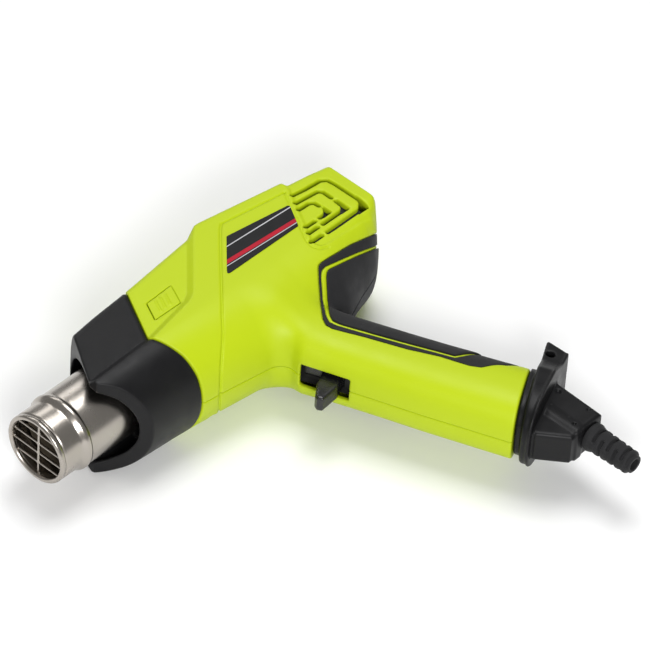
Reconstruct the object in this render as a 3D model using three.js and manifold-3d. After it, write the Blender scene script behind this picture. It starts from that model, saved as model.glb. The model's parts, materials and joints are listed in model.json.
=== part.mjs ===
// Heat gun lying on its right side, in millimetres.
// X runs from the nozzle to the rear, Y towards the top of the gun, Z towards its left side.
// The parts are built about the barrel axis and lifted at the end, so that the right side rests on z = 0.
import * as THREE from 'three';
import { mergeVertices } from 'three/addons/utils/BufferGeometryUtils.js';
import Module from 'manifold-3d';

const wasm = await Module();
wasm.setup();

// ---- driving dimensions -------------------------------------------------

const GAP = 0.3;                 // clearance between pieces that touch
const WALL = 2.4;                // moulded wall
const HALF_WIDTH = 31;           // barrel axis to the flat side
const PANEL_HALF_WIDTH = 29.3;   // the lower panel in front of the label section
const CREASE = -5.6;             // height where the flat side meets the round belly

const REAR_END = 91;             // flat rear end of the barrel
const NOZZLE_TIP = -125;
const NOZZLE_TIP_RADIUS = 17.8;
const NOZZLE_RADIUS = 19.2;
const NOZZLE_WALL = 0.9;
const NOZZLE_STEP = -111;        // where the nozzle widens
const NOZZLE_ROOT = -14;

const HANDLE_RAKE = 22.5;        // degrees the handle leans back from square
const HANDLE_START_X = -2;       // where its centre line crosses the barrel axis
const HANDLE_END = 150.5;        // along the centre line
const HANDLE_END_SLOPE = -0.122; // the end cut rises towards the back

const SWITCH_WINDOW = [47, 72];  // along the handle
const SWITCH_HALF = 6.8;         // half width of the window
const KNOB_CENTRE = 62;
const SWITCH_PLATE_DEPTH = -16;

const FOOT_BOTTOM = 161.5;
const CORD_X = 66.5;              // centre line of the cord outlet
const CORD_BLOCK_BOTTOM = -172;
const BOOT_END = -197;

const FAN_X = [55, 68];
const MOTOR_X = [20, 52];
const AXLE_RADIUS = 1.6;

// ---- colours ------------------------------------------------------------

const LIME = { color: 0xb4cc1c, roughness: 0.42 };
const BLACK = { color: 0x242628, roughness: 0.55 };
const RUBBER = { color: 0x1d1e20, roughness: 0.85 };
const STEEL = { color: 0xb9b4ac, roughness: 0.28, metalness: 1 };
const ZINC = { color: 0x9b9ea2, roughness: 0.4, metalness: 1 };
const MICA = { color: 0xc9b68c, roughness: 0.7 };
const BOARD = { color: 0x1f6b3a, roughness: 0.5 };
const SATIN_BLACK = { color: 0x16171a, roughness: 0.35 };
const INSULATION = { color: 0x2b5fa8, roughness: 0.5 };

const group = new THREE.Group();
group.name = 'heat_gun';

// ---- solids -------------------------------------------------------------

// Turns a closed surface into a solid, whichever way its faces point.
function solid(geometry) {
  const bare = new THREE.BufferGeometry();
  bare.setAttribute('position', geometry.attributes.position);
  if (geometry.index) bare.setIndex(geometry.index);
  const merged = mergeVertices(bare, 1e-4);
  const points = merged.attributes.position;
  const index = merged.index.array;
  const corner = (i) => new THREE.Vector3().fromBufferAttribute(points, i);
  const faces = [];
  let volume = 0;
  for (let i = 0; i < index.length; i += 3) {
    const [a, b, c] = [index[i], index[i + 1], index[i + 2]];
    if (a === b || b === c || c === a) continue;
    faces.push([a, b, c]);
    volume += corner(a).dot(corner(b).cross(corner(c)));
  }
  const triangles = faces.flatMap(([a, b, c]) => (volume < 0 ? [a, c, b] : [a, b, c]));
  return new wasm.Manifold(new wasm.Mesh({
    numProp: 3,
    vertProperties: new Float32Array(points.array),
    triVerts: new Uint32Array(triangles),
  }));
}

function surface(body) {
  const mesh = body.getMesh();
  const geometry = new THREE.BufferGeometry();
  geometry.setAttribute('position', new THREE.BufferAttribute(new Float32Array(mesh.vertProperties), 3));
  geometry.setIndex(new THREE.BufferAttribute(new Uint32Array(mesh.triVerts), 1));
  geometry.computeVertexNormals();
  return geometry;
}

// Cuts can leave slivers with no volume beside the real piece.
const withoutSlivers = (body) => body.decompose().sort((a, b) => b.volume() - a.volume())[0];

function addNode(name, body, look) {
  const geometry = surface(withoutSlivers(body));
  geometry.translate(0, 0, HALF_WIDTH);
  const mesh = new THREE.Mesh(geometry, new THREE.MeshStandardMaterial({ metalness: 0, ...look }));
  mesh.name = name;
  group.add(mesh);
}

const join = (...bodies) => bodies.reduce((whole, body) => whole.add(body));

function box(x0, x1, y0, y1, z0, z1) {
  const geometry = new THREE.BoxGeometry(x1 - x0, y1 - y0, z1 - z0);
  geometry.translate((x0 + x1) / 2, (y0 + y1) / 2, (z0 + z1) / 2);
  return solid(geometry);
}

// An outline drawn in side view, with thickness across the gun.
function prismGeometry(outline, z0, z1) {
  const shape = new THREE.Shape(outline.map(([x, y]) => new THREE.Vector2(x, y)));
  const options = { depth: z1 - z0, bevelEnabled: false, curveSegments: 6 };
  const geometry = new THREE.ExtrudeGeometry(shape, options);
  geometry.translate(0, 0, z0);
  return geometry;
}

const prism = (outline, z0 = -60, z1 = 60) => solid(prismGeometry(outline, z0, z1));

// A profile of [x, radius] points turned about the barrel axis.
function turned(profile, segments = 40) {
  const points = profile.map(([x, radius]) => new THREE.Vector2(radius, x));
  const geometry = new THREE.LatheGeometry(points, segments);
  geometry.rotateZ(-Math.PI / 2);
  return geometry;
}

const tube = (x0, x1, inner, outer, segments) =>
  solid(turned([[x0, inner], [x0, outer], [x1, outer], [x1, inner], [x0, inner]], segments));

const rod = (x0, x1, radius, segments) =>
  solid(turned([[x0, 0], [x0, radius], [x1, radius], [x1, 0]], segments));

// Joins rings of equal point count into one closed skin with flat ends.
function loft(rings) {
  const count = rings[0].length;
  const points = rings.flat();
  const index = [];
  for (let r = 0; r + 1 < rings.length; r++) {
    for (let i = 0; i < count; i++) {
      const next = (i + 1) % count;
      const [a, b] = [r * count + i, r * count + next];
      index.push(a, b, b + count, a, b + count, a + count);
    }
  }
  for (const [ring, turn] of [[0, 1], [rings.length - 1, -1]]) {
    const middle = rings[ring].reduce((sum, p) => sum.clone().add(p)).divideScalar(count);
    points.push(middle);
    const centre = points.length - 1;
    for (let i = 0; i < count; i++) {
      const [a, b] = [ring * count + i, ring * count + ((i + 1) % count)];
      index.push(...(turn > 0 ? [centre, b, a] : [centre, a, b]));
    }
  }
  const geometry = new THREE.BufferGeometry();
  geometry.setAttribute('position', new THREE.Float32BufferAttribute(points.flatMap((p) => p.toArray()), 3));
  geometry.setIndex(index);
  return geometry;
}

// Straight-line reading of a list of [station, value] pairs.
function along(pairs, at) {
  if (at <= pairs[0][0]) return pairs[0][1];
  for (let i = 1; i < pairs.length; i++) {
    const [[s0, v0], [s1, v1]] = [pairs[i - 1], pairs[i]];
    if (at <= s1) return v0 + (v1 - v0) * (at - s0) / (s1 - s0);
  }
  return pairs[pairs.length - 1][1];
}

// ---- the outer form of the barrel ----------------------------------------

const BELLY = [[-97, 29], [-77, 30.5], [-57, 31.5], [-36, 34], [-4, 39], [10, 42], [45, 41], [60, 37.4],
  [67, 33.8], [75, 28.7], [81, 23.6], [86, 18.6], [REAR_END, 13]];
const BELLY_SQUARENESS = [[66, 2], [78, 2.2], [86, 3.2], [REAR_END, 5.5]];
const LABEL_TOP = [[-60, 36], [16, 36], [65, 28], [66, 24.8], [REAR_END, 20.5]];
const PANEL_TOP = [[-97, 22.5], [-80, 24], [-41, 27], [5, 32], [20, 33]];
const ROOF_CROWN = 2;
const LOWER_HALF = [[-97, 29.4], [-57, HALF_WIDTH], [78, HALF_WIDTH], [REAR_END, 29.5]];

function barrelRing(x, upper, top, inset) {
  const lower = along(LOWER_HALF, x) - inset;
  const side = Math.min(upper, along(LOWER_HALF, x)) - inset;
  const bottom = along(BELLY, x) - inset;
  const square = along(BELLY_SQUARENESS, x);
  const edge = Math.max(8 - inset, 1.5);
  const roof = top - inset;
  const half = [];
  for (let i = 0; i <= 8; i++) {
    const angle = (1 - i / 8) * Math.PI / 2;
    const z = lower * Math.cos(angle) ** (2 / square);
    const y = CREASE - (bottom + CREASE) * Math.sin(angle) ** (2 / square);
    half.push([y, i === 0 ? 0 : z]);
  }
  half.push([CREASE + 2.4, side]);
  for (let i = 0; i <= 3; i++) {
    const angle = i / 3 * Math.PI / 2;
    half.push([roof - edge + edge * Math.sin(angle), side - edge + edge * Math.cos(angle)]);
  }
  half.push([roof + ROOF_CROWN, 0]);
  const mirrored = half.slice(1, -1).reverse().map(([y, z]) => [y, -z]);
  return [...half, ...mirrored].map(([y, z]) => new THREE.Vector3(x, y, z));
}

function barrelForm(stations, upper, tops, inset) {
  return solid(loft(stations.map((x) => barrelRing(x, upper, along(tops, x), inset))));
}

// The label section stands proud of the panel in front of it, along a line that leans forward.
const BAND_LEAN = 1.035;
const bandX = (y) => -23.8 + BAND_LEAN * y;
function behindBand(inset) {
  const back = inset * Math.hypot(1, BAND_LEAN);
  const low = CREASE - 1 - inset;
  return [[bandX(low) + back, low], [-120, low], [-120, -80], [120, -80], [120, 60], [bandX(60) + back, 60]];
}

// The black guard ends on this line, seen from the side.
const GUARD_BORDER = [[-36, 34], [-57, -5.5], [-50.5, -20], [-47, -34], [-46, -60]];

function barrelSolid(inset) {
  const rear = REAR_END - inset;
  const labelStations = [-60, -36, -4, 10, 16, 30, 45, 60, 65, 66, 67, 75, 81, 88]
    .filter((x) => x < rear - 1);
  const label = barrelForm([...labelStations, rear], HALF_WIDTH, LABEL_TOP, inset)
    .intersect(prism(behindBand(inset)));
  const panel = barrelForm([-60, -41, 5, 20], PANEL_HALF_WIDTH, PANEL_TOP, inset);
  return join(label, panel);
}

// ---- the outer form of the handle ----------------------------------------

const HANDLE_FRONT = [[14, -22], [30, -19.5], [45, -19.3], [60, -19.8], [80, -20.4], [110, -21.6],
  [156, -22.3]];
const HANDLE_BACK = [[14, 40], [30, 31], [42, 23.2], [52, 19.9], [60, 18.8], [110, 18.6], [128, 19.6],
  [156, 20.5]];
const HANDLE_HALF = [[14, 28], [25, 27.5], [35, 23.5], [46, 20], [60, 18.6], [90, 18.3], [156, 18.8]];
const HANDLE_SQUARENESS = 2.7;

// Moves a shape drawn down the handle, with x towards its back and y up along it, onto the gun.
function onHandle(geometry) {
  geometry.rotateZ(THREE.MathUtils.degToRad(HANDLE_RAKE));
  geometry.translate(HANDLE_START_X, 0, 0);
  return geometry;
}

const handleBox = (back0, back1, down0, down1, z0, z1) => {
  const geometry = new THREE.BoxGeometry(back1 - back0, down1 - down0, z1 - z0);
  geometry.translate((back0 + back1) / 2, -(down0 + down1) / 2, (z0 + z1) / 2);
  return solid(onHandle(geometry));
};

const handlePrism = (outline, z0, z1) =>
  solid(onHandle(prismGeometry(outline.map(([back, down]) => [back, -down]), z0, z1)));

function superellipse(front, back, half, power, count = 28) {
  const points = [];
  for (let i = 0; i < count; i++) {
    const angle = i / count * 2 * Math.PI;
    const [c, s] = [Math.cos(angle), Math.sin(angle)];
    const reach = (back - front) / 2;
    const x = (back + front) / 2 + reach * Math.sign(c) * Math.abs(c) ** (2 / power);
    points.push([x, half * Math.sign(s) * Math.abs(s) ** (2 / power)]);
  }
  return points;
}

const endCut = (back, start = HANDLE_END) => start + HANDLE_END_SLOPE * back;

function handleSolid(inset, start = 14, end = HANDLE_END) {
  const stations = [start, 25, 35, 46, 60, 80, 110, 156];
  const rings = stations.map((down) => superellipse(
    along(HANDLE_FRONT, down) + inset,
    along(HANDLE_BACK, down) - inset,
    along(HANDLE_HALF, down) - inset,
    HANDLE_SQUARENESS,
  ).map(([back, z]) => new THREE.Vector3(back, -down, z)));
  const body = solid(onHandle(loft(rings)));
  const beyond = [[-60, endCut(-60, end)], [80, endCut(80, end)], [80, 240], [-60, 240]];
  return body.subtract(handlePrism(beyond, -60, 60));
}

const gunSolid = (inset, end = HANDLE_END) => join(barrelSolid(inset), handleSolid(inset, 14 + inset, end));

// ---- left and right housing ----------------------------------------------

const GRIP_DEPTH = 1.5;
const GRIP_EDGE = [[38, -23.6], [80, -27.6], [120, -31], [120, -160], [74, -126], [60.5, -120.6],
  [50.6, -116.6], [38.5, -89], [25.5, -60.5], [20.3, -50.5], [12.6, -51.5], [16, -45.5], [34, -27]];

// Moves every edge of a closed outline outwards, or inwards for a negative margin.
function grown(outline, margin) {
  const area = outline.reduce((sum, [x, y], i) => {
    const [nx, ny] = outline[(i + 1) % outline.length];
    return sum + x * ny - nx * y;
  }, 0);
  const outward = Math.sign(area);
  return outline.map(([x, y], i) => {
    const [px, py] = outline[(i + outline.length - 1) % outline.length];
    const [nx, ny] = outline[(i + 1) % outline.length];
    const [before, after] = [new THREE.Vector2(x - px, y - py), new THREE.Vector2(nx - x, ny - y)];
    before.normalize();
    after.normalize();
    const sum = before.clone().add(after);
    const reach = margin * outward * 2 / sum.lengthSq();
    return [x + sum.y * reach, y - sum.x * reach];
  });
}

// The grip covers the rear under the barrel and the back of the handle.
const gripRegion = (margin) => prism(grown(GRIP_EDGE, margin));

function ribbon(points, width) {
  const sides = points.map((p, i) => {
    const before = points[Math.max(i - 1, 0)];
    const after = points[Math.min(i + 1, points.length - 1)];
    const [dx, dy] = [after[0] - before[0], after[1] - before[1]];
    const length = Math.hypot(dx, dy);
    return [-dy / length * width / 2, dx / length * width / 2];
  });
  const near = points.map(([x, y], i) => [x + sides[i][0], y + sides[i][1]]);
  const far = points.map(([x, y], i) => [x - sides[i][0], y - sides[i][1]]).reverse();
  return [...near, ...far];
}

const VENT_SLOTS = [
  [[61.8, 15.6], [69.4, 14.4], [79.6, 13.6], [82.3, 11.6], [83, 7.2], [83.1, -8]],
  [[82, -12.6], [56.2, -12.8]],
  [[52.6, -12.6], [44.8, -12.7]],
  [[58.7, 10.7], [73, 9.3], [74.4, 7.2], [74.3, 1.7]],
  [[74.2, -1.3], [74.1, -5]],
  [[74, -8.2], [58.1, -8.2]],
  [[54.8, -8.2], [47.8, -8.2]],
  [[56.4, 6.6], [63.6, 6.3], [65.7, 4.8], [65.9, 1.9]],
  [[65.6, -4.1], [60.1, -4.2]],
  [[56.6, -4.2], [49.9, -4.1]],
];

// The tongue is cut free on three sides and bends at its rear end.
const TONGUE = { front: -43, rear: -25, low: 2.4, high: 12.6, lean: 0.42, thick: 1.6 };

const tongueOutline = (margin, rearExtra) => [
  [TONGUE.rear + rearExtra, TONGUE.low - margin],
  [TONGUE.front - margin + TONGUE.lean * (TONGUE.low - 7.5), TONGUE.low - margin],
  [TONGUE.front - margin + TONGUE.lean * (TONGUE.high - 7.5), TONGUE.high + margin],
  [TONGUE.rear + rearExtra, TONGUE.high + margin],
];

// Screws come in from the right side: [x, y] in side view.
const SCREW_PLACES = [[-36, -26], [-4, 29], [6, -31], [38, 24], [84, 15], [22.3, -81], [45, -130]];
const BOSS_RADIUS = 3.4;
const SCREW_HEAD = [-16.5, -14.1];

function acrossRod(x, y, z0, z1, radius, segments = 12) {
  const geometry = new THREE.CylinderGeometry(radius, radius, z1 - z0, segments);
  geometry.rotateX(Math.PI / 2);
  geometry.translate(x, y, (z0 + z1) / 2);
  return solid(geometry);
}

const LABEL_OUTLINE = [[-0.6, -1], [18.4, 17.5], [54.9, 12], [47.3, -1]];
const RATING_OUTLINE = [[12, 2], [12, 18], [44, 18], [44, 2]];

function housing() {
  const outer = gunSolid(0);
  const inner = gunSolid(WALL, HANDLE_END + 10);
  const skin = gunSolid(GRIP_DEPTH);
  let shell = outer.subtract(inner);
  const beforeGuard = [...GUARD_BORDER, [-200, -60], [-200, 34]];
  shell = shell.subtract(prism(beforeGuard));
  shell = shell.subtract(gripRegion(0).subtract(skin));
  for (const points of VENT_SLOTS) shell = shell.subtract(prism(ribbon(points, 2.2)));
  for (const side of [1, -1]) {
    const [near, far] = side > 0 ? [20, 40] : [-40, -20];
    shell = shell.subtract(prism(tongueOutline(0.5, 0.4), near, far));
  }
  shell = shell.subtract(handleBox(-40, -12, ...SWITCH_WINDOW, -SWITCH_HALF, SWITCH_HALF));
  shell = shell.subtract(prism(LABEL_OUTLINE, HALF_WIDTH - 0.7, 40));
  shell = shell.subtract(prism(RATING_OUTLINE, -40, -HALF_WIDTH + 0.7));
  for (const [x, y] of SCREW_PLACES) {
    const boss = acrossRod(x, y, -31, 30, BOSS_RADIUS).intersect(skin);
    shell = shell.add(boss);
  }
  for (const [x, y] of SCREW_PLACES) {
    shell = shell.subtract(acrossRod(x, y, -60, 14, 1.8));
    shell = shell.subtract(acrossRod(x, y, -60, -14, 2.9));
  }
  const left = shell.intersect(box(-200, 200, -300, 100, GAP / 2, 60));
  const right = shell.intersect(box(-200, 200, -300, 100, -60, -GAP / 2));
  addNode('housing_left', left, LIME);
  addNode('housing_right', right, LIME);
}

function softGrip() {
  const band = gunSolid(0).intersect(gripRegion(-GAP)).subtract(gunSolid(GRIP_DEPTH - GAP));
  addNode('grip_left', band.intersect(box(-20, 120, -200, 0, GAP / 2, 60)), RUBBER);
  addNode('grip_right', band.intersect(box(-20, 120, -200, 0, -60, -GAP / 2)), RUBBER);
}

function releaseTabs() {
  const top = PANEL_HALF_WIDTH;
  const tongue = prism(tongueOutline(0, 0), top - TONGUE.thick, top);
  const ribs = [0, 1, 2].map((i) => {
    const x = TONGUE.front + 5 + i * 3.2;
    return prism([[x - 2, 3.8], [x - 1, 3.8], [x + 2, 11], [x + 1, 11]], top - 0.2, top + 0.5);
  });
  const left = join(tongue, ...ribs);
  addNode('release_tab_left', left, LIME);
  const flipped = surface(left);
  flipped.scale(1, 1, -1);
  addNode('release_tab_right', solid(flipped), LIME);
}

function labels() {
  addNode('label_left', prism(grown(LABEL_OUTLINE, -GAP), HALF_WIDTH - 0.4, HALF_WIDTH), SATIN_BLACK);
  const rating = prism(grown(RATING_OUTLINE, -GAP), -HALF_WIDTH + 0.1, -HALF_WIDTH + 0.4);
  addNode('rating_label', rating, SATIN_BLACK);
}

function screws() {
  SCREW_PLACES.forEach(([x, y], i) => {
    const shank = acrossRod(x, y, SCREW_HEAD[1] - 0.5, 8, 1.3, 12);
    const head = acrossRod(x, y, ...SCREW_HEAD, 2.5, 12);
    const slot = box(x - 0.4, x + 0.4, y - 1.6, y + 1.6, SCREW_HEAD[0] - 1, SCREW_HEAD[0] + 1);
    addNode(`housing_screw_${i + 1}`, shank.add(head).subtract(slot), ZINC);
  });
}

// ---- guard over the root of the nozzle -----------------------------------

const GUARD_FRONT = [[-74, 30], [-95.4, -5.2], [-88, -16.4], [-79, -29], [-77, -34], [-77, -60]];

function nozzleGuard() {
  const form = (x0, x1, inset) =>
    barrelForm([x0, (x0 + x1) / 2, x1], PANEL_HALF_WIDTH, PANEL_TOP, inset);
  const behind = GUARD_BORDER.map(([x, y]) => [x - GAP, y]);
  const frontWall = 3;
  const inside = prism([...GUARD_FRONT.map(([x, y]) => [x + frontWall, y]), [60, -60], [60, 30]]);
  let guard = form(-99, -30, 0).subtract(prism([...behind, [60, -60], [60, 34]]));
  guard = guard.subtract(form(-96, -20, WALL).intersect(inside));
  guard = guard.subtract(rod(-120, -70, 21.8, 48));
  // A thinner straight skirt plugs into the mouth of the housing, and pulls out of it with the guard.
  const skirtReach = GUARD_BORDER.map(([x, y]) => [x + 7, y]);
  const straight = (x0, x1, inset) => {
    const ring = barrelRing(-60, PANEL_HALF_WIDTH, along(PANEL_TOP, -60), inset);
    return solid(loft([x0, x1].map((x) => ring.map((p) => new THREE.Vector3(x, p.y, p.z)))));
  };
  const skirt = straight(-72, -20, WALL + GAP)
    .subtract(straight(-74, -10, WALL + 1.7))
    .subtract(prism([...skirtReach, [60, -60], [60, 34]]));
  const seat = form(-72, -67, WALL - 1).subtract(straight(-74, -60, WALL + 1.7));
  guard = join(guard, skirt, seat).subtract(prism([...GUARD_FRONT, [-200, -60], [-200, 30]]));
  addNode('nozzle_guard', guard, BLACK);
}

// ---- nozzle and heater -----------------------------------------------------

function nozzle() {
  const inner = NOZZLE_RADIUS - NOZZLE_WALL;
  const tip = NOZZLE_TIP_RADIUS - NOZZLE_WALL;
  const skin = [
    [NOZZLE_TIP + 2, NOZZLE_TIP_RADIUS - 3.3],
    [NOZZLE_TIP, NOZZLE_TIP_RADIUS - 3],
    [NOZZLE_TIP, NOZZLE_TIP_RADIUS - 1.6],
    [NOZZLE_TIP + 0.7, NOZZLE_TIP_RADIUS - 0.4],
    [NOZZLE_TIP + 2.2, NOZZLE_TIP_RADIUS],
    [NOZZLE_STEP, NOZZLE_TIP_RADIUS],
    [NOZZLE_STEP + 3, NOZZLE_RADIUS + 0.4],
    [NOZZLE_STEP + 5, NOZZLE_RADIUS + 0.4],
    [NOZZLE_STEP + 6.5, NOZZLE_RADIUS],
    [NOZZLE_ROOT - 2, NOZZLE_RADIUS],
    [NOZZLE_ROOT - 2, NOZZLE_RADIUS + 4],
    [NOZZLE_ROOT, NOZZLE_RADIUS + 4],
    [NOZZLE_ROOT, inner],
    [NOZZLE_STEP + 3, inner],
    [NOZZLE_STEP, tip],
    [NOZZLE_TIP + 2.6, tip],
    [NOZZLE_TIP + 2, NOZZLE_TIP_RADIUS - 3.3],
  ];
  addNode('nozzle_tube', solid(turned(skin, 40)), STEEL);
}

function grille() {
  const x0 = NOZZLE_TIP + 3.2;
  const x1 = x0 + 1.2;
  const rim = NOZZLE_TIP_RADIUS - NOZZLE_WALL - GAP;
  const ring = tube(x0, x1 + 2, rim - 2.4, rim, 48);
  const bars = [box(x0, x1, -0.8, 0.8, -rim + 1, rim - 1)];
  const pitch = 5.7;
  for (let i = 0; i < 4; i++) {
    const z = (i - 1.5) * pitch;
    const reach = Math.sqrt(rim * rim - z * z) - 1;
    bars.push(box(x0, x1, -reach, reach, z - 0.65, z + 0.65));
  }
  addNode('nozzle_grille', join(ring, ...bars), STEEL);
}

function heater() {
  const start = NOZZLE_TIP + 12;
  const end = NOZZLE_ROOT - 4;
  const shieldOuter = NOZZLE_TIP_RADIUS - NOZZLE_WALL - 0.6;
  addNode('heater_sleeve', tube(start, end, shieldOuter - 0.8, shieldOuter, 36), MICA);
  const reach = 10.5;
  const bladeA = box(start + 4, end - 2, -reach, reach, -0.6, 0.6);
  const bladeB = box(start + 4, end - 2, -0.6, 0.6, -reach, reach);
  const rings = [start + 4, end - 6].map((x) => tube(x, x + 1.6, reach - 3, reach + 2.6, 24));
  addNode('heater_core', join(bladeA, bladeB, ...rings), MICA);
  const turns = 9;
  const steps = turns * 10;
  const coilRadius = reach + 1.5;
  const path = [];
  for (let i = 0; i <= steps; i++) {
    const angle = i / 10 * 2 * Math.PI;
    const x = start + 9 + (end - start - 19) * i / steps;
    path.push(new THREE.Vector3(x, coilRadius * Math.cos(angle), coilRadius * Math.sin(angle)));
  }
  const wire = new THREE.Shape();
  wire.absarc(0, 0, 0.7, 0, 2 * Math.PI);
  addNode('heater_coil', solid(new THREE.ExtrudeGeometry(wire, {
    steps,
    curveSegments: 3,
    bevelEnabled: false,
    extrudePath: new THREE.CatmullRomCurve3(path),
  })), ZINC);
}

function thermalCutout() {
  const cup = acrossRod(-6, 0, 12, 18, 4.6, 20);
  const tabs = [-1, 1].map((side) => box(-7.5, -4.5, side * 6.5 - 1.2, side * 6.5 + 1.2, 13, 15));
  const plate = box(-9, -3, -7.7, 7.7, 12, 13.4);
  addNode('thermal_cutout', join(cup, plate, ...tabs), ZINC);
}

// ---- motor and fan ---------------------------------------------------------

function motor() {
  const [front, rear] = MOTOR_X;
  const can = join(rod(front, rear, 13.8, 36), rod(rear, rear + 1.6, 5, 24));
  const clearance = rod(front - 1, rear + 6, AXLE_RADIUS + GAP, 20);
  addNode('motor', can.subtract(clearance), ZINC);
  const plateX = [front - 3.3, front - GAP];
  const plate = tube(plateX[0], plateX[1], 5, 25.5, 40);
  const holes = [];
  for (let i = 0; i < 6; i++) {
    const angle = i / 6 * 2 * Math.PI;
    const geometry = new THREE.CylinderGeometry(5, 5, 12, 20);
    geometry.rotateZ(Math.PI / 2);
    geometry.translate(front, 18 * Math.cos(angle), 18 * Math.sin(angle));
    holes.push(solid(geometry));
  }
  addNode('motor_mount', plate.subtract(join(...holes)), BLACK);
}

function airDuct() {
  const profile = [[-12.5, 21], [-12.5, 22.8], [2, 25.5], [15, 25.5], [15, 24], [2, 24], [-11, 21],
    [-12.5, 21]];
  addNode('air_duct', solid(turned(profile, 40)), BLACK);
}

function fan() {
  const [front, rear] = FAN_X;
  const hub = rod(front, rear - 1, 6, 24);
  const back = tube(rear - 2.2, rear - 1, 5, 23, 40);
  const blades = [];
  const bladeCount = 11;
  for (let i = 0; i < bladeCount; i++) {
    const geometry = new THREE.BoxGeometry(rear - front - 3, 17.2, 1.1);
    geometry.rotateX(0.35);
    geometry.translate((front + rear) / 2 - 0.8, 13.8, 1.5);
    geometry.rotateX(i / bladeCount * 2 * Math.PI);
    blades.push(solid(geometry));
  }
  const wheel = join(hub, back, ...blades).intersect(rod(front - 5, rear + 5, 23, 60));
  addNode('fan_wheel', wheel.subtract(rod(front - 1, rear + 1, AXLE_RADIUS + GAP, 20)), BLACK);
  addNode('motor_shaft', rod(MOTOR_X[0] - 2, rear + 3, AXLE_RADIUS, 20), STEEL);
}

function intakeScreens() {
  for (const [name, side] of [['left', 1], ['right', -1]]) {
    const z = side > 0 ? [25.4, 26.6] : [-26.6, -25.4];
    addNode(`intake_screen_${name}`, prism([[48, -14], [60, 15], [78, 14], [80, -13]], ...z), SATIN_BLACK);
  }
}

// ---- switch ----------------------------------------------------------------

function switchParts() {
  const [start, end] = SWITCH_WINDOW;
  const plateBack = SWITCH_PLATE_DEPTH + 1.6;
  const plate = handleBox(SWITCH_PLATE_DEPTH, plateBack, KNOB_CENTRE - 17, KNOB_CENTRE + 23, -5.9, 5.9);
  const knob = handlePrism([
    [plateBack - 1, KNOB_CENTRE - 5],
    [-24, KNOB_CENTRE - 4.8],
    [-32.6, KNOB_CENTRE - 2.2],
    [-34, KNOB_CENTRE - 0.6],
    [-33.4, KNOB_CENTRE + 2],
    [-28, KNOB_CENTRE + 3.6],
    [-23, KNOB_CENTRE + 5.4],
    [plateBack - 1, KNOB_CENTRE + 5.6],
  ], -4.2, 4.2);
  const stem = handleBox(plateBack - 0.4, plateBack + 3.4, KNOB_CENTRE - 2, KNOB_CENTRE + 2, -2, 2);
  addNode('switch_slider', join(plate, knob, stem), BLACK);
  const bodyFront = plateBack + GAP;
  const body = handleBox(bodyFront, bodyFront + 15, start - 2, end + 2, -8, 8);
  const slot = handleBox(bodyFront - 1, bodyFront + 5, KNOB_CENTRE - 14, KNOB_CENTRE + 4, -2.6, 2.6);
  const terminals = [0, 1, 2].map((i) => {
    const down = start + 4 + i * 8;
    return handleBox(bodyFront + 14.5, bodyFront + 20, down, down + 3, -0.5, 0.5);
  });
  addNode('switch_body', join(body.subtract(slot), ...terminals), SATIN_BLACK);
}

function electronics() {
  const board = handleBox(-10, 6, 90, 118, -1, 0.6);
  addNode('circuit_board', board, BOARD);
  const caps = join(
    handleBox(-7, 3, 93, 101, 0.9, 9),
    handleBox(-8, 4, 100, 115, 0.9, 7),
  );
  addNode('rectifier', caps, SATIN_BLACK);
}

function leadTube(points, radius) {
  const curve = new THREE.CatmullRomCurve3(points.map(([x, y, z]) => new THREE.Vector3(x, y, z)));
  const section = new THREE.Shape();
  section.absarc(0, 0, radius, 0, 2 * Math.PI);
  const options = { steps: 24, curveSegments: 4, bevelEnabled: false, extrudePath: curve };
  return solid(new THREE.ExtrudeGeometry(section, options));
}

// The leads run up beside the switch to the motor and down to the cord clamp.
function leads() {
  const toMotor = [[14, -46, 13], [18, -34, 17], [26, -22, 19], [34, -17, 16.5]];
  const toClamp = [[44, -117, 7], [54, -134, 6], [62, -143, 2], [CORD_X, -148.2, 0]];
  addNode('motor_lead', leadTube(toMotor, 1.1), INSULATION);
  addNode('supply_lead', leadTube(toClamp, 1.4), SATIN_BLACK);
}

// ---- foot, cord outlet and boot ---------------------------------------------

const footTop = (back) => 154 - 0.13 * back;

function footOutline() {
  const outline = [];
  for (let i = 0; i <= 12; i++) {
    const angle = Math.PI / 2 + i / 12 * Math.PI;
    const [c, s] = [Math.cos(angle), Math.sin(angle)];
    outline.push([-24.6 * Math.abs(c) ** 0.8, 21 * Math.sign(s) * Math.abs(s) ** 0.8]);
  }
  outline.push([12, -20], [24, -12.6], [60, -10.6], [60, 10.6], [24, 12.6], [12, 20]);
  return outline;
}

// An outline in back and sideways directions, with thickness down the handle.
function footPlate(outline, down0, down1) {
  const shape = new THREE.Shape(outline.map(([back, z]) => new THREE.Vector2(back, -z)));
  const geometry = new THREE.ExtrudeGeometry(shape, { depth: down1 - down0, bevelEnabled: false });
  geometry.rotateX(-Math.PI / 2);
  geometry.translate(0, -down1, 0);
  return solid(onHandle(geometry));
}

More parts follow.
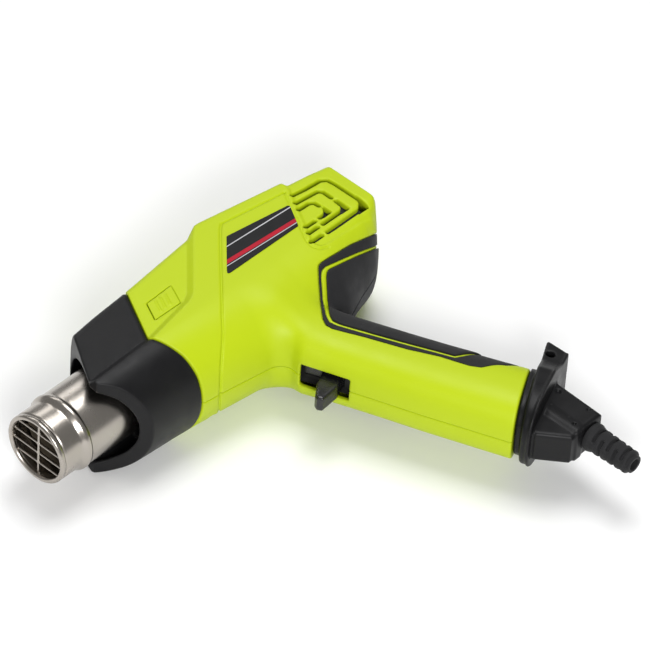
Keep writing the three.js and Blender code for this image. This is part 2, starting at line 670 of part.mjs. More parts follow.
function baseCap() {
  let foot = footPlate(footOutline(), 144, FOOT_BOTTOM);
  foot = foot.subtract(handlePrism([[-60, footTop(-60)], [90, footTop(90)], [90, 100], [-60, 100]], -60, 60));
  foot = foot.subtract(box(REAR_END, 140, -200, -60, -60, 60));
  const neckRing = superellipse(-20.4, 18.6, 17, HANDLE_SQUARENESS, 28);
  const seat = 150.8;
  const aboveSeat = (top) =>
    handlePrism([[-60, endCut(-60, seat)], [90, endCut(90, seat)], [90, top], [-60, top]], -60, 60);
  const neck = footPlate(neckRing, 143, 158).subtract(aboveSeat(100));
  const blockSide = [[57, -140], [75.8, -140], [74.4, CORD_BLOCK_BOTTOM], [57, CORD_BLOCK_BOTTOM]];
  const block = prism(blockSide, -9.5, 9.5);
  const fairing = prism([[42, -152], [60, -146], [59, CORD_BLOCK_BOTTOM], [53, CORD_BLOCK_BOTTOM],
    [43.5, -158]], -7, 7);
  const solidCap = join(foot, neck, block.intersect(box(0, 100, -200, -100, -20, 20)), fairing);
  let cap = solidCap.subtract(aboveSeat(60));
  cap = cap.subtract(footPlate(superellipse(-17.6, 15.8, 14.2, 2.7, 28), 140, 158.5));
  cap = cap.subtract(box(CORD_X - 5.7, CORD_X + 5.7, CORD_BLOCK_BOTTOM + 3, -136, -6.5, 6.5));
  cap = cap.subtract(downRod(CORD_X, 0, -180, -160, 4.9));
  cap = cap.subtract(acrossRod(84, -131, -30, 30, 1.9));
  addNode('base_cap', cap, BLACK);
}

function downRod(x, z, y0, y1, radius, segments = 24) {
  const geometry = new THREE.CylinderGeometry(radius, radius, y1 - y0, segments);
  geometry.translate(x, (y0 + y1) / 2, z);
  return solid(geometry);
}

function cordClamp() {
  const bar = box(CORD_X - 4, CORD_X + 4, -153, -149, -6, 6);
  addNode('cord_clamp', bar.subtract(downRod(CORD_X, 0, -160, -140, 2.6)), BLACK);
}

function cordBoot() {
  const bottom = CORD_BLOCK_BOTTOM - GAP;
  const profile = [[0, -166], [5.4, -166], [5.4, -168.6], [4.6, -168.6], [4.6, bottom], [7, bottom]];
  const ribs = 5;
  const pitch = (bottom - BOOT_END - 3) / ribs;
  for (let i = 0; i < ribs; i++) {
    const y = bottom - 2.4 - i * pitch;
    const radius = 6.9 - 0.2 * i;
    const slot = radius - 1.6;
    profile.push([radius, y], [slot, y - 0.4], [slot, y - pitch * 0.42], [radius - 0.1, y - pitch * 0.5]);
  }
  profile.push([5.9, BOOT_END], [0, BOOT_END]);
  const geometry = new THREE.LatheGeometry(profile.map(([r, y]) => new THREE.Vector2(r, y)), 20);
  geometry.translate(CORD_X, 0, 0);
  addNode('cord_boot', solid(geometry).subtract(downRod(CORD_X, 0, -210, -150, 3.1)), RUBBER);
}

// ---- the whole gun ------------------------------------------------------------

housing();
softGrip();
releaseTabs();
labels();
screws();
nozzleGuard();
nozzle();
grille();
heater();
thermalCutout();
motor();
airDuct();
fan();
intakeScreens();
switchParts();
electronics();
leads();
baseCap();
cordClamp();
cordBoot();

export default group;
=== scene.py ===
"""Heat gun lying on its right side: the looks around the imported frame.

The moulded pieces are worked out in millimetres about the barrel axis, as fields of distance to their
surface, and meshed from there. X runs from the nozzle to the rear, Y to the top, Z to the left side.
"""
import json
import math
import bmesh
import bpy
import numpy as np
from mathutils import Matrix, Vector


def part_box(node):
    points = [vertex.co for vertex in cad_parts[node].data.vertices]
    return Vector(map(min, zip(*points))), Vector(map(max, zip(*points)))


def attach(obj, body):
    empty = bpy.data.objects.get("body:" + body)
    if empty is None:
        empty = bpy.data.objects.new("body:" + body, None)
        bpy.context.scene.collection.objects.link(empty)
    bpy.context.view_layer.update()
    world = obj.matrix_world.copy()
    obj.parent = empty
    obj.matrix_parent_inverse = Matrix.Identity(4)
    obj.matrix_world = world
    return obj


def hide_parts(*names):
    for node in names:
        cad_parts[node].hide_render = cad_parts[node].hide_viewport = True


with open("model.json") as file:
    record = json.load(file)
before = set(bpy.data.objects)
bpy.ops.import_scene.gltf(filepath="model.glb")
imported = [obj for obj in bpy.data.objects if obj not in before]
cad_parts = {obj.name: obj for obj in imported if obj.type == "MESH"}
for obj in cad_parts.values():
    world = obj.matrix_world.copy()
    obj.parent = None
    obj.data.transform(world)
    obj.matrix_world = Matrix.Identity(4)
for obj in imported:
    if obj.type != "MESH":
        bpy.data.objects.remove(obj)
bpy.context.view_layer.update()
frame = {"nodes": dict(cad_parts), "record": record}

import openvdb
from mathutils import Matrix, Vector

# ---- driving dimensions, in millimetres ----------------------------------

MM = 0.001
HALF_WIDTH = 31.0                # the barrel axis is this far above the floor
PANEL_HALF_WIDTH = 28.7          # the flat in front of the label section
CREASE = -5.6                    # where the flat side meets the round belly
WALL = 2.4
VENT_WALL = 1.6                  # added to the wall around the rear slots
EDGE_RADIUS = 2.4                # along the top edges
ROOF_CROWN = 3.6                 # the middle of the roof stands this far above its sides
BAND_WIDTH = 3.4                 # the slanted step between the lower panel and the label section
BAND_LEAN = 1.035                # its run to the rear for each millimetre up
PARTING_GAP = 0.08               # each half stops this short of the parting plane
VENT_REACH = 22                  # the rear slots are cut in to this far from the middle
TAB_REACH = 20                   # and so is the gap around a release tab

HANDLE_RAKE = math.radians(22.5)
HANDLE_START_X = -2.0
HANDLE_END = 150.5
HANDLE_END_SLOPE = -0.122
HANDLE_SQUARENESS = 2.7
HANDLE_JOINT = 2.0               # rounding where the handle starts inside the barrel

SWITCH_WINDOW = (47.0, 72.0)
KNOB_CENTRE = 62.0
WINDOW_HALF_WIDTH = 6.8
SLIDE_BACK = -13.2               # middle of the slide's plate, behind the front wall of the handle
CORD_X = 66.5
CORD_BLOCK_BOTTOM = -172.0
CORD_BORE = 4.9                  # radius
FOOT_FRONT = 23.4                # reach of the foot ahead of the middle of the handle
FOOT_HALF_WIDTH = 20.0
FOOT_TOP = 154.0                 # distance down, at the middle of the handle
FOOT_TOP_SLOPE = 0.13
FOOT_BOTTOM = 161.5
NECK = (19.7, 17.2)              # half widths back and across, inside the handle
NECK_HOLLOW = (16.7, 14.2)
EYE = (84.0, -130.6, 1.9)        # x, y, radius
BOOT_END = -197.0
BOOT_BORE = 3.1                  # radius
BOOT_SLOTS = (-177.6, 4.1, 5)    # height of the first slot, pitch, number
SCREW_WELL = 3.1                 # radius
SCREW_BOSS = 4.2                 # radius
ROOF_SCREW = 28                  # a screw above this height is close under the roof
GUARD_OPENING = 24.3             # radius of the round opening at the front of the guard
GUARD_FRONT_WALL = 3.0

FINE = 1.0
REAR_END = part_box("housing_left")[1][0] / MM
NOZZLE_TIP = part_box("nozzle_tube")[0][0] / MM

# Profiles along the barrel, as (x, value).
BELLY = [(-97, 29), (-77, 30.5), (-57, 31.5), (-36, 34), (-4, 39), (10, 42), (45, 39.8), (60, 33.6),
         (67, 31.4), (75, 28.4), (81, 24), (86, 18.8), (91, 12.4), (94, 9)]
BELLY_SQUARENESS = [(66, 2), (78, 2.2), (86, 3.2), (91, 6)]
LABEL_TOP = [(-60, 33), (16, 33), (64.5, 25.1), (66, 22.3), (91, 18.9)]
PANEL_TOP = [(-97, 20.4), (-80, 21.9), (-41, 24.9), (5, 29.9), (20, 30.9)]
LABEL_SIDE = [(-97, 29.4), (-57, HALF_WIDTH), (78, HALF_WIDTH), (91, 30)]
PANEL_SIDE = [(-98, 26.2), (-64, PANEL_HALF_WIDTH), (0, PANEL_HALF_WIDTH)]

# Profiles down the handle, as (distance down, value).
HANDLE_FRONT = [(14, -13), (30, -14.6), (42, -16.4), (47, -19.3), (60, -19.8), (80, -20.4), (110, -21.6),
                (156, -22.3)]
HANDLE_BACK = [(14, 36), (30, 26), (42, 18.8), (52, 17.6), (60, 17.5), (110, 17.3), (156, 18.2)]
HANDLE_HALF = [(14, 28), (25, 27.5), (35, 23.5), (46, 20), (60, 18.6), (90, 18.3), (156, 18.8)]

# Outlines in side view, as (x, y).
GUARD_BORDER = [(-34, 38), (-57, -5.5), (-53.6, -13), (-50, -21), (-47.8, -28), (-47, -34), (-47, -60)]
GUARD_FRONT = [(-69.2, 38), (-95.4, -5.2), (-95, -9.4), (-88, -16.4), (-83, -23), (-79, -29), (-77, -34),
               (-77, -60)]
AHEAD = [(-300, -60), (-300, 38)]  # closes either guard line to an outline of all that lies ahead of it
# The two grip outlines are read in the slanted view of Block.slanted_view.
GRIP_EDGE = [(51.8, -19.1), (64.9, -20), (78.5, -22.9), (120, -31), (120, -160), (74, -131.5), (59.6, -125.1),
             (55.8, -121.6), (48.6, -118), (45.7, -113.8), (40.4, -99.7), (33.2, -86), (24.4, -65.8),
             (18.7, -54.8), (17.2, -51.8), (16.8, -49), (18.5, -45.2), (26.2, -36.4), (34.1, -28.2),
             (41.5, -20.8), (43.4, -19.4), (45.9, -18.9)]
GRIP_LINE = [(100, -36), (72.5, -29.7), (62, -27), (45.2, -23.7), (42.7, -24.2), (39.8, -26.4), (28.2, -38.2),
             (22.7, -45.1), (20.8, -48.9), (21.7, -52.1), (35.7, -83), (42.5, -97.8), (45.5, -104.5),
             (47.9, -105.6), (60, -109.5)]
GRIP_BACK = [(140, -150), (140, -46)]  # closes the grip line behind the gun
GRIP_TOP = -13.5
VENT_PANEL = [(67, 45), (63.9, 19.6), (46.1, -11.6), (45.4, -14.6), (47, -17), (50, -17.8), (58.1, -17.6),
              (73.2, -17.8), (120, -19.5), (120, 45)]
LABEL_GROOVE = [(60.4, 19), (22.9, 24.7), (19.6, 22.2), (1.9, 5), (-20.8, -17.7), (-26, -23.4),
                (-34.5, -30.8), (-42, -38)]
VENT_GROOVE = [(60.4, 19), (43.3, -11.2), (43, -15.2), (45.4, -18.2), (50, -19.4)]
VENT_SLOTS = [
    [(61.8, 15.6), (69.4, 14.4), (79.6, 13.6), (82.3, 11.6), (82.9, 7.2), (83.1, -8)],
    [(82, -12.6), (56.2, -12.9)],
    [(52.6, -12.6), (44.8, -12.7)],
    [(58.7, 10.7), (69.2, 9.6), (73, 9.1), (74.4, 7.2), (74.3, 1.7)],
    [(74.2, -1.3), (74.1, -5)],
    [(74, -8), (58.1, -8)],
    [(54.8, -7.9), (47.8, -7.9)],
    [(56.4, 6.6), (63.6, 6.3), (65.7, 4.8), (65.9, 1.9)],
    [(65.6, -4.1), (60.1, -4.2)],
    [(56.6, -4.2), (49.9, -4.1)],
]
VENT_CORNERS = [
    [(84, -5.6), (84, -13.6), (77.4, -13.5), (81.9, -9.6)],
    [(75, -1.4), (75.2, -9), (70, -8.9), (73.4, -5.8)],
    [(66.8, 0.2), (66.8, -5), (61.8, -5.1), (65, -2.6)],
]
LABEL = [(-1.2, -1.9), (17.8, 16.6), (55.3, 11.2), (47.6, -1.9)]
RATING = [(12.4, 2.4), (12.4, 17.6), (43.6, 17.6), (43.6, 2.4)]
TONGUE = [(-23.6, 13.0), (-40.0, 12.2), (-45.0, 2.1), (-28.7, 2.0)]
SCREW_PLACES = [(-36, -26), (-4, 29), (6, -31), (38, 24), (84, 15), (22.3, -81), (45, -130)]
CORD_BLOCK = [(56, -138), (74.6, -138), (73.4, CORD_BLOCK_BOTTOM), (56, CORD_BLOCK_BOTTOM)]
CORD_FAIRING = [(41, -150), (60, -144), (59, CORD_BLOCK_BOTTOM), (52, CORD_BLOCK_BOTTOM), (42, -159)]
DIMPLES = [(70, -148, 1.1), (59, -167.5, 0.8), (71, -166, 0.8)]  # x, y, radius, in the cord housing

# Other profiles: half width of the foot's tail by distance back, radius of the boot by height.
FOOT_TAIL = [(-2, 20), (12, 19.4), (24, 12.4), (60, 9.8)]
BOOT = [(BOOT_END, 5.9), (-180, 6.4), (-176, 6.6), (-174.6, 7.2), (-170, 7.2)]

# The thumb slide in side view, as (distance back, distance down).
THUMB_SLIDE = [(SLIDE_BACK, 57), (-24, 57.2), (-32.4, 59.6), (-34, 61.2), (-33.6, 64), (-28, 65.8),
               (-23, 67.4), (SLIDE_BACK, 67.6)]


# ---- fields ---------------------------------------------------------------

class Block:
    """A box of space sampled on an even grid. back and down are the handle's own directions."""

    def __init__(self, low, high, step):
        self.low = np.array(low, float)
        self.step = step
        axes = [np.arange(a, b + step, step, dtype=np.float32) for a, b in zip(low, high)]
        self.x = axes[0][:, None, None]
        self.y = axes[1][None, :, None]
        self.z = axes[2][None, None, :]
        self.across = np.abs(self.z)
        shift = self.x - HANDLE_START_X
        self.back = math.cos(HANDLE_RAKE) * shift + math.sin(HANDLE_RAKE) * self.y
        self.down = math.sin(HANDLE_RAKE) * shift - math.cos(HANDLE_RAKE) * self.y

    def side_view(self):
        return np.broadcast_arrays(self.x, self.y)

    def slanted_view(self):
        """The side view, slanted towards the lower front over the rounded rear of the belly."""
        share = ease((self.y + 48) / 12) * (self.across - 20)
        return np.broadcast_arrays(self.x + 0.804 * share, self.y + 0.679 * share)

    def outline(self, points):
        return outline(*self.side_view(), points)

    def chain(self, points):
        return chain(*self.side_view(), points)


def profile(points, at, soft):
    """Reads a list of (station, value), with its corners eased over a length."""
    stations, values = np.array(points, float).T
    pitch = 0.25
    fine = np.arange(stations[0] - soft, stations[-1] + soft, pitch)
    count = int(soft / pitch) // 2 * 2 + 1
    window = np.hanning(count + 2)[1:-1]
    level = np.pad(np.interp(fine, stations, values), count // 2, mode="edge")
    eased = np.convolve(level, window / window.sum(), mode="valid")
    return np.interp(at, fine, eased).astype(np.float32)


def join(a, b, soft):
    """Either of two forms, with a fillet of about the length soft."""
    near = np.maximum(soft - np.abs(a - b), 0) / soft
    return np.minimum(a, b) - near * near * soft / 4


def both(a, b, soft):
    """What two forms share, with its edge eased over the length soft."""
    return -join(-a, -b, soft)


def ease(value):
    """0 to 1 with soft ends."""
    t = np.clip(value, 0, 1)
    return t * t * (3 - 2 * t)


def chain(u, v, points, closed=False):
    """Distance in a plane to a chain of straight lines."""
    ends = points[1:] + (points[:1] if closed else [])
    best = np.full(np.broadcast(u, v).shape, 1e6, np.float32)
    for (ax, ay), (bx, by) in zip(points, ends):
        dx, dy = bx - ax, by - ay
        t = np.clip(((u - ax) * dx + (v - ay) * dy) / (dx * dx + dy * dy), 0, 1)
        best = np.minimum(best, np.hypot(u - ax - t * dx, v - ay - t * dy))
    return best


def outline(u, v, points):
    """Distance in a plane to a closed outline, negative inside."""
    inside = np.zeros(np.broadcast(u, v).shape, bool)
    for (ax, ay), (bx, by) in zip(points, points[1:] + points[:1]):
        if ay != by:
            crosses = (ay > v) != (by > v)
            inside ^= crosses & (u < (bx - ax) * (v - ay) / (by - ay) + ax)
    distance = chain(u, v, points, closed=True)
    return np.where(inside, -distance, distance)


def rounded(across, up, radius):
    """Two faces square to each other with a round edge between them."""
    a, b = across + radius, up + radius
    return np.minimum(np.maximum(a, b), 0) + np.hypot(np.maximum(a, 0), np.maximum(b, 0)) - radius


def squared_oval(a, b, power):
    """Negative in an oval, where a and b are distances from its middle as shares of its half widths."""
    return (a ** power + b ** power) ** (1 / power) - 1


def even(field, step):
    """Scales a field so that it measures distance near its surface."""
    slopes = np.gradient(field, step)
    steepness = np.sqrt(sum(s * s for s in slopes))
    return field / np.maximum(steepness, 0.3)


def barrel(block, side, top):
    x, y, z = block.x, block.y, block.across
    depth = profile(BELLY, x, 7) + CREASE
    power = profile(BELLY_SQUARENESS, x, 6)
    drop = np.maximum(CREASE - y, 0)
    belly = side * squared_oval(z / side, drop / depth, power)
    roof = top + ROOF_CROWN * (1 - (z / side) ** 4)
    upper = rounded(z - side, y - roof, EDGE_RADIUS)
    form = np.where(y < CREASE, belly, upper)
    return both(form, x - REAR_END, 1.0)


def handle(block):
    down = block.down
    front = profile(HANDLE_FRONT, down, 6)
    back = profile(HANDLE_BACK, down, 12)
    half = profile(HANDLE_HALF, down, 12)
    reach = (back - front) / 2
    middle = (back + front) / 2
    oval = squared_oval(np.abs(block.back - middle) / reach, block.across / half, HANDLE_SQUARENESS)
    form = oval * np.minimum(reach, half)
    form = both(form, 16 - down, HANDLE_JOINT)
    return both(form, down - HANDLE_END - HANDLE_END_SLOPE * block.back, 1.2)


def ahead_of_band(block):
    """Negative on the lower panel, in front of the slanted band and above the line along the crease."""
    slanted = (block.x + 23.8 - BAND_LEAN * block.y) / math.hypot(1, BAND_LEAN)
    low = np.clip(0.3 + 0.188 * (block.x + 23.5), -6, 0.3)
    return both(slanted, low - block.y, 3)


def whole_form(block):
    """The outer form of the gun without its guard line, slots and soft grip."""
    side = profile(LABEL_SIDE, block.x, 8)
    step_in = 0.9 * ease(0.5 - block.outline(VENT_PANEL) / 1.6)
    label = barrel(block, side - step_in, profile(LABEL_TOP, block.x, 1.2))
    panel = barrel(block, profile(PANEL_SIDE, block.x, 8), profile(PANEL_TOP, block.x, 8))
    ramp = np.clip(ahead_of_band(block) / BAND_WIDTH + 0.5, 0, 1)
    form = panel + (label - panel) * ramp
    fillet = 3.5 + 3 * ease(0.5 - block.back / 20)
    form = join(form, handle(block), fillet)
    form = both(form, block.across - HALF_WIDTH, 0.4)
    return even(form, block.step)


def ahead_of_guard_border(block):
    return block.outline(GUARD_BORDER + AHEAD)


def ahead_of_guard_front(block):
    return block.outline(GUARD_FRONT + AHEAD)


# ---- meshes ---------------------------------------------------------------

def mesh_object(name, points, faces):
    """A smooth-shaded mesh from points in millimetres about the barrel axis."""
    mesh = bpy.data.meshes.new(name)
    points = (np.asarray(points, float) + (0, 0, HALF_WIDTH)) * MM
    faces = np.asarray(faces)
    sides = faces.shape[1]
    mesh.vertices.add(len(points))
    mesh.vertices.foreach_set("co", points.ravel())
    mesh.loops.add(faces.size)
    mesh.loops.foreach_set("vertex_index", faces.ravel())
    mesh.polygons.add(len(faces))
    mesh.polygons.foreach_set("loop_start", np.arange(len(faces)) * sides)
    mesh.polygons.foreach_set("use_smooth", np.full(len(faces), True))
    mesh.update(calc_edges=True)
    made = bpy.data.objects.new(name, mesh)
    bpy.context.scene.collection.objects.link(made)
    return made


def skin(name, block, field, mirror=False):
    """Meshes the surface where a field is zero. A mirrored one is turned over to the right side."""
    reach = 3 * block.step
    clipped = np.clip(np.broadcast_to(field, np.broadcast(block.x, block.y, block.z).shape), -reach, reach)
    clipped = np.array(clipped, np.float32)
    for axis in range(3):
        for end in (0, -1):
            clipped[(slice(None),) * axis + (end,)] = reach
    grid = openvdb.FloatGrid(reach)
    grid.copyFromArray(clipped)
    points, faces = grid.convertToQuads(0.0)
    points = points * block.step + block.low
    a, b, c = (points[faces[:, i]] for i in range(3))
    outward = np.einsum("ij,ij->i", a, np.cross(b, c)).sum() > 0
    if mirror:
        points = points * (1, 1, -1)
    if outward == mirror:
        faces = faces[:, ::-1]
    return mesh_object(name, points, faces)


def fit(piece, body, look, node):
    """Attaches a piece to the body it rides on, gives it its material and hides the CAD node that it stands
    in for.
    """
    piece.data.materials.clear()
    piece.data.materials.append(look)
    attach(piece, body)
    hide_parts(node)


# ---- materials --------------------------------------------------------------

class Look:
    """A procedural material, built up on one Principled shader. Lengths are in metres."""

    def __init__(self, name, colour, roughness, metallic=0.0, level=0.5):
        self.material = bpy.data.materials.new(name)
        self.material.use_nodes = True
        self.tree = self.material.node_tree
        self.shader = self.tree.nodes["Principled BSDF"]
        self.shader.inputs["Metallic"].default_value = metallic
        self.shader.inputs["Specular IOR Level"].default_value = level
        self.place = self.node("ShaderNodeTexCoord").outputs["Object"]
        self.colour = self.constant(colour)
        self.roughness = roughness
        self.height = None

    def node(self, kind, **settings):
        made = self.tree.nodes.new(kind)
        for key, value in settings.items():
            setattr(made, key, value)
        return made

    def set(self, socket, value):
        if isinstance(value, bpy.types.NodeSocket):
            self.tree.links.new(value, socket)
        else:
            socket.default_value = value

    def constant(self, colour):
        rgb = self.node("ShaderNodeRGB")
        rgb.outputs[0].default_value = (*colour, 1)
        return rgb.outputs[0]

    def math(self, operation, *values):
        made = self.node("ShaderNodeMath", operation=operation)
        for socket, value in zip(made.inputs, values):
            self.set(socket, value)
        return made.outputs[0]

    def noise(self, scale, detail, stretch=(1, 1, 1)):
        mapping = self.node("ShaderNodeMapping")
        mapping.inputs["Scale"].default_value = stretch
        self.set(mapping.inputs["Vector"], self.place)
        made = self.node("ShaderNodeTexNoise")
        made.inputs["Scale"].default_value = scale
        made.inputs["Detail"].default_value = detail
        self.set(made.inputs["Vector"], mapping.outputs[0])
        return made.outputs["Fac"]

    def span(self, value, low, high, to_low, to_high):
        """Reads low to high as to_low to to_high, and holds the ends."""
        made = self.node("ShaderNodeMapRange")
        for socket, number in zip(made.inputs, (value, low, high, to_low, to_high)):
            self.set(socket, number)
        return made.outputs[0]

    def tint(self, amount, colour):
        """Mixes a colour in where amount is 1."""
        made = self.node("ShaderNodeMix", data_type="RGBA")
        self.set(made.inputs["Factor"], amount)
        self.set(made.inputs["A"], self.colour)
        made.inputs["B"].default_value = (*colour, 1)
        self.colour = made.outputs["Result"]

    def lighter_edges(self, colour, strength=0.5):
        """Convex edges are tinted a little lighter, in broken patches."""
        edge = self.node("ShaderNodeNewGeometry").outputs["Pointiness"]
        sharp = self.span(edge, 0.52, 0.60, 0.0, strength)
        broken = self.span(self.noise(160, 4), 0.35, 0.7, 0.2, 1.0)
        self.tint(self.math("MULTIPLY", sharp, broken), colour)

    def vary(self, scale, colour, amount):
        """Clouds a second colour in."""
        self.tint(self.span(self.noise(scale, 4), 0.35, 0.75, 0.0, amount), colour)

    def rough(self, scale, low, high):
        """Lets the roughness wander between two values."""
        self.roughness = self.span(self.noise(scale, 3), 0.3, 0.7, low, high)

    def raise_by(self, height, metres):
        """Adds a pattern to the bump, so many metres high."""
        part = self.math("MULTIPLY", height, metres)
        self.height = part if self.height is None else self.math("ADD", self.height, part)

    def done(self):
        self.set(self.shader.inputs["Base Color"], self.colour)
        self.set(self.shader.inputs["Roughness"], self.roughness)
        if self.height is not None:
            made = self.node("ShaderNodeBump")
            made.inputs["Strength"].default_value = 1.0
            made.inputs["Distance"].default_value = 1.0
            self.set(made.inputs["Height"], self.height)
            self.set(self.shader.inputs["Normal"], made.outputs[0])
        return self.material


def lime_plastic():
    look = Look("lime_plastic", (0.435, 0.55, 0.006), 0.42, level=0.25)
    look.vary(14, (0.41, 0.52, 0.005), 0.35)
    look.lighter_edges((0.56, 0.68, 0.04), 0.25)
    look.rough(90, 0.4, 0.5)
    look.raise_by(look.noise(2600, 2), 0.000018)
    look.raise_by(look.noise(60, 2), 0.00002)
    return look.done()


def black_plastic():
    look = Look("black_plastic", (0.006, 0.006, 0.0065), 0.38, level=0.2)
    look.vary(30, (0.010, 0.010, 0.011), 0.6)
    look.lighter_edges((0.06, 0.06, 0.06), 0.5)
    look.rough(120, 0.33, 0.46)
    look.raise_by(look.noise(2200, 2), 0.00003)
    look.raise_by(look.noise(220, 3), 0.00001)
    return look.done()


def gloss_black():
    look = Look("gloss_black", (0.007, 0.007, 0.008), 0.25)
    look.vary(60, (0.012, 0.012, 0.012), 0.5)
    look.lighter_edges((0.07, 0.07, 0.07), 0.5)
    look.rough(200, 0.2, 0.34)
    look.raise_by(look.noise(1500, 2), 0.00001)
    return look.done()


def soft_rubber():
    look = Look("soft_rubber", (0.014, 0.014, 0.015), 0.7, level=0.2)
    look.vary(40, (0.019, 0.019, 0.020), 0.6)
    look.lighter_edges((0.06, 0.06, 0.06), 0.35)
    look.rough(150, 0.62, 0.8)
    look.shader.inputs["Sheen Weight"].default_value = 0.06
    look.shader.inputs["Sheen Roughness"].default_value = 0.5
    look.raise_by(look.noise(1900, 2), 0.00005)
    look.raise_by(look.noise(300, 3), 0.00003)
    return look.done()


def drawn_steel():
    """Satin tube: fine lines run round it, and the hot end has a faint straw tint."""
    look = Look("drawn_steel", (0.43, 0.40, 0.365), 0.28, metallic=1.0)
    look.vary(45, (0.37, 0.345, 0.31), 0.4)
    split = look.node("ShaderNodeSeparateXYZ")
    look.set(split.inputs[0], look.place)
    near_tip = look.span(split.outputs["X"], NOZZLE_TIP * MM, (NOZZLE_TIP + 60) * MM, 0.4, 0.0)
    look.tint(near_tip, (0.41, 0.37, 0.32))
    look.rough(60, 0.22, 0.3)
    look.raise_by(look.noise(1.0, 2, stretch=(5200, 12, 12)), 0.000003)
    return look.done()


def plain_metal(name, colour, roughness):
    look = Look(name, colour, roughness, metallic=1.0)
    look.vary(80, tuple(0.7 * c for c in colour), 0.5)
    look.rough(300, roughness * 0.8, roughness * 1.3)
    look.raise_by(look.noise(900, 3), 0.00002)
    return look.done()


def mottled(name, colour, other, roughness, grain):
    look = Look(name, colour, roughness)
    look.vary(grain, other, 0.8)
    look.rough(grain * 3, roughness * 0.8, min(roughness * 1.2, 1))
    look.raise_by(look.noise(grain * 8, 3), 0.00003)
    return look.done()


def printed_film(name, ground, stripes):
    """A glossy label. Each stripe is (left end, right end, half width, colour), in side-view millimetres."""
    look = Look(name, ground, 0.35, level=0.2)
    split = look.node("ShaderNodeSeparateXYZ")
    look.set(split.inputs[0], look.place)
    x, y = split.outputs["X"], split.outputs["Y"]
    edge = 0.05
    for (ax, ay), (bx, by), half, colour in stripes:
        slope = (by - ay) / (bx - ax)
        line = look.math("MULTIPLY_ADD", x, slope, (ay - slope * ax) * MM)
        off = look.math("ABSOLUTE", look.math("SUBTRACT", y, line))
        look.tint(look.span(off, (half - edge) * MM, (half + edge) * MM, 1.0, 0.0), colour)
    look.vary(50, tuple(min(1, c * 1.6 + 0.004) for c in ground), 0.25)
    look.rough(150, 0.3, 0.42)
    look.raise_by(look.noise(400, 2), 0.000004)
    return look.done()


# ---- the moulded pieces -------------------------------------------------------

def pole_distance(block, x, y):
    """Distance in side view to a place, which is a pole across the gun."""
    return np.hypot(block.x - x, block.y - y)


def housing(block, form):
    """Both halves: (left, right) fields on the side z > 0."""
    grip, line = grip_outlines(block)
    skin_field = form.copy()
    for depth, points in ((1.0, LABEL_GROOVE), (0.7, VENT_GROOVE)):
        skin_field = skin_field + depth * ease(1 - block.chain(points) / 0.8)
    rib = both(form + 0.35, line - line_half(block), 0.4)
    seat = join(form + 1.3, rib, 0.3)
    under_grip = both(skin_field, -grip, 0.5)
    outside = join(under_grip, both(seat, grip, 0.1), 0.1)
    inside = form + WALL + VENT_WALL * ease(0.5 - block.outline(VENT_PANEL) / 6)
    mouth = both(inside, block.down - HANDLE_END - 20, 1)
    shell = both(outside, -mouth, 0.5)
    shell = both(shell, -ahead_of_guard_border(block), 0.7)
    slots = [block.chain(points) - 1.0 for points in VENT_SLOTS]
    slots += [block.outline(points) - 0.3 for points in VENT_CORNERS]
    for slot in slots:
        shell = both(shell, -both(slot, VENT_REACH - block.across, 0.5), 0.9)
    start, end = SWITCH_WINDOW
    window = both(np.abs(block.down - (start + end) / 2) - (end - start) / 2,
                  block.across - WINDOW_HALF_WIDTH, 1.2)
    window = both(window, block.back + 12, 1)
    shell = both(shell, -window, 0.8)
    # A pocket behind the front wall, in which the plate of the thumb slide runs.
    slide_way = both(np.abs(block.back - SLIDE_BACK) - 0.85, np.abs(block.down - KNOB_CENTRE + 1.5) - 27, 0.3)
    shell = both(shell, -both(slide_way, block.across - 6.4, 0.3), 0.3)
    tab = both(block.outline(TONGUE) - 0.4, TAB_REACH - block.across, 0.5)
    shell = both(shell, -tab, 0.2)
    left = both(shell, PARTING_GAP - block.z, 0.4)
    right = left
    for x, y in SCREW_PLACES:
        boss = both(pole_distance(block, x, y) - SCREW_BOSS, form + 0.2, 0.6)
        boss = both(boss, 10 - block.z, 0.5)
        right = join(right, boss, 0.8)
        well = pole_distance(block, x, y) - SCREW_WELL
        if y > ROOF_SCREW:
            well = both(well, block.y - y + 1.4, 0.5)
        right = both(right, -well, 0.8)
    return left, right


def line_half(block):
    """Half the width of the lime line in the grip: broad at the rear, fine down the handle."""
    return 1.2 - 0.6 * ease((block.down - 34) / 30)


def grip_outlines(block):
    """Distances to the edge of the soft grip and to the lime line in it."""
    view = block.slanted_view()
    return both(outline(*view, GRIP_EDGE), block.y - GRIP_TOP, 1), chain(*view, GRIP_LINE)


def soft_grip(block, form):
    """One half of the grip: raised behind the lime line, with four low ribs on the back of the handle."""
    grip, line = grip_outlines(block)
    pad = ease(0.5 - outline(*block.slanted_view(), GRIP_LINE + GRIP_BACK) / 1.2)
    outer = form - 0.75 * pad
    ribs = 0.0
    for i in range(4):
        ribs = ribs + ease(1 - np.abs(block.down - 74 - 5.5 * i) / 1.3)
    on_back = ease((block.back - 13) / 4) * ease((13 - block.across) / 4)
    outer = outer + 0.8 * ribs * on_back
    piece = both(outer, -(form + 1.2), 0.3)
    piece = both(piece, grip + 0.25, 0.9)
    piece = both(piece, -(line - line_half(block) - 0.15), 0.6)
    return both(piece, PARTING_GAP - block.z, 0.4)


def release_tab(block, form):
    """The tongue with three ribs. Its rear end, the hinge, comes closer to the housing than its sides."""
    tongue = both(form, -(form + 1.7), 0.3)
    tongue = both(tongue, TAB_REACH - block.across, 0.3)
    for i in range(3):
        x = TONGUE[2][0] + 7.4 + 3.2 * i
        rib = block.chain([(x - 1.4, 4.4), (x + 1.5, 10.6)])
        tongue = tongue - 0.4 * ease(1 - rib / 0.9)
    hinge_end = [(x + 0.3 if x > -30 else x, y) for x, y in TONGUE]
    return both(tongue, block.outline(hinge_end), 0.2)


